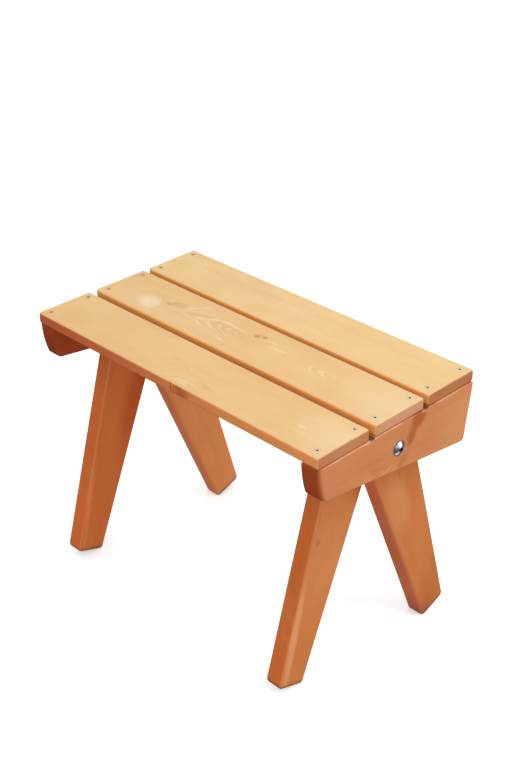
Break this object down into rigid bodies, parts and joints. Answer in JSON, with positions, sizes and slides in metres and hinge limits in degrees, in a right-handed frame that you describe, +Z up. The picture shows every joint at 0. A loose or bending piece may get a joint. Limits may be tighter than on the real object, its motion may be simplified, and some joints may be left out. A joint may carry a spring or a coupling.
{
  "type": "folding slatted stool",
  "caption": "Low wooden bench with a slatted seat on tapered end rails; crossed tapered legs swing on a bolt at each end and fold under the seat.",
  "frame": {"origin": "on the ground under the middle of the seat, legs open", "axes": "+X along the slats, from the left end to the right end; +Y from the front to the back, where the end rails are deeper; +Z up"},
  "size_m": [0.5662, 0.3196, 0.418],
  "materials": {
    "slat_wood": "satin oiled pine, honey colour",
    "rail_wood": "satin oiled pine, darker honey colour",
    "leg_wood": "satin oiled pine, darker honey colour",
    "bolt_zinc": "bright zinc plate",
    "screw_zinc": "zinc plate",
    "nylon": "natural nylon"
  },
  "bodies": {
    "seat": {"slat_front": "slat_wood", "slat_middle": "slat_wood", "slat_back": "slat_wood", "end_rail_left": "rail_wood", "pivot_bolt_left": "bolt_zinc", "pivot_washer_left": "bolt_zinc", "pivot_nut_left": "bolt_zinc", "nut_insert_left": "nylon", "screws_front_left": "screw_zinc", "screws_middle_left": "screw_zinc", "screws_back_left": "screw_zinc", "end_rail_right": "rail_wood", "pivot_bolt_right": "bolt_zinc", "pivot_washer_right": "bolt_zinc", "pivot_nut_right": "bolt_zinc", "nut_insert_right": "nylon", "screws_front_right": "screw_zinc", "screws_middle_right": "screw_zinc", "screws_back_right": "screw_zinc"},
    "leg_left_front": {"leg_left_front": "leg_wood"},
    "leg_left_back": {"leg_left_back": "leg_wood"},
    "leg_right_front": {"leg_right_front": "leg_wood"},
    "leg_right_back": {"leg_right_back": "leg_wood"}
  },
  "joints": [
    {"name": "leg_left_front_fold", "type": "hinge", "parent": "seat", "child": "leg_left_front", "pos_m": [-0.2356, 0, 0.363], "axis": [1, 0, 0], "range_deg": [0, 112]},
    {"name": "leg_left_back_fold", "type": "hinge", "parent": "seat", "child": "leg_left_back", "pos_m": [-0.2356, 0, 0.363], "axis": [-1, 0, 0], "range_deg": [0, 112]},
    {"name": "leg_right_front_fold", "type": "hinge", "parent": "seat", "child": "leg_right_front", "pos_m": [0.2356, 0, 0.363], "axis": [1, 0, 0], "range_deg": [0, 112]},
    {"name": "leg_right_back_fold", "type": "hinge", "parent": "seat", "child": "leg_right_back", "pos_m": [0.2356, 0, 0.363], "axis": [-1, 0, 0], "range_deg": [0, 112]}
  ]
}
